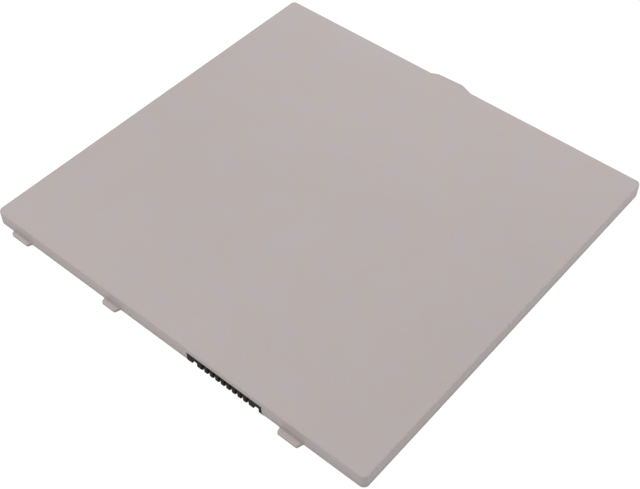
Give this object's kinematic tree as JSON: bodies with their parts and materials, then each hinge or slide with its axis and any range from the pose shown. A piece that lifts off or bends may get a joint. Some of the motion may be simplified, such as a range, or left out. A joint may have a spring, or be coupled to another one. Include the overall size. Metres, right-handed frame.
{
  "type": "tablet battery",
  "caption": "Slim flat plug-in battery pack for a tablet: two plastic covers around pouch cells and a board, with edge hooks, a latch tongue and a black comb connector.",
  "frame": {"origin": "middle of the casing's footprint, on the underside, where the pack rests", "axes": "+X along the connector edge, -Y out of the connector edge, +Z out of the plain face"},
  "size_m": [0.139, 0.1364, 0.0051],
  "materials": {
    "cover_plastic": "fine moulded texture, warm grey",
    "connector_plastic": "black glass-filled nylon",
    "contact_metal": "gold-plated copper alloy",
    "board_laminate": "green solder mask",
    "adhesive_sheet": "double-sided adhesive",
    "nickel": "rolled nickel",
    "tab_aluminium": "rolled aluminium",
    "pouch_film": "satin laminated foil",
    "insulating_film": "amber film",
    "ceramic": "sintered ceramic",
    "bead_resin": "dipped resin",
    "chip_resin": "moulded epoxy"
  },
  "bodies": {
    "root": {"bottom_cover": "cover_plastic", "cell_1": "pouch_film", "cell_1_negative_tab": "nickel", "cell_1_negative_weld_pad": "nickel", "cell_1_positive_tab": "tab_aluminium", "cell_1_positive_weld_pad": "nickel", "cell_1_tape": "adhesive_sheet", "cell_2": "pouch_film", "cell_2_negative_tab": "nickel", "cell_2_negative_weld_pad": "nickel", "cell_2_positive_tab": "tab_aluminium", "cell_2_positive_weld_pad": "nickel", "cell_2_tape": "adhesive_sheet", "cell_3": "pouch_film", "cell_3_negative_tab": "nickel", "cell_3_negative_weld_pad": "nickel", "cell_3_positive_tab": "tab_aluminium", "cell_3_positive_weld_pad": "nickel", "cell_3_tape": "adhesive_sheet", "charge_switch": "chip_resin", "chemical_fuse": "chip_resin", "chip_capacitors": "ceramic", "circuit_board": "board_laminate", "connector_housing": "connector_plastic", "contact_1": "contact_metal", "contact_2": "contact_metal", "contact_3": "contact_metal", "contact_4": "contact_metal", "contact_5": "contact_metal", "contact_6": "contact_metal", "contact_7": "contact_metal", "contact_8": "contact_metal", "contact_9": "contact_metal", "discharge_switch": "chip_resin", "gauge_chip": "chip_resin", "insulating_strip": "insulating_film", "protector_chip": "chip_resin", "sense_resistor": "ceramic", "thermistor": "bead_resin", "top_cover": "cover_plastic"}
  },
  "joints": []
}
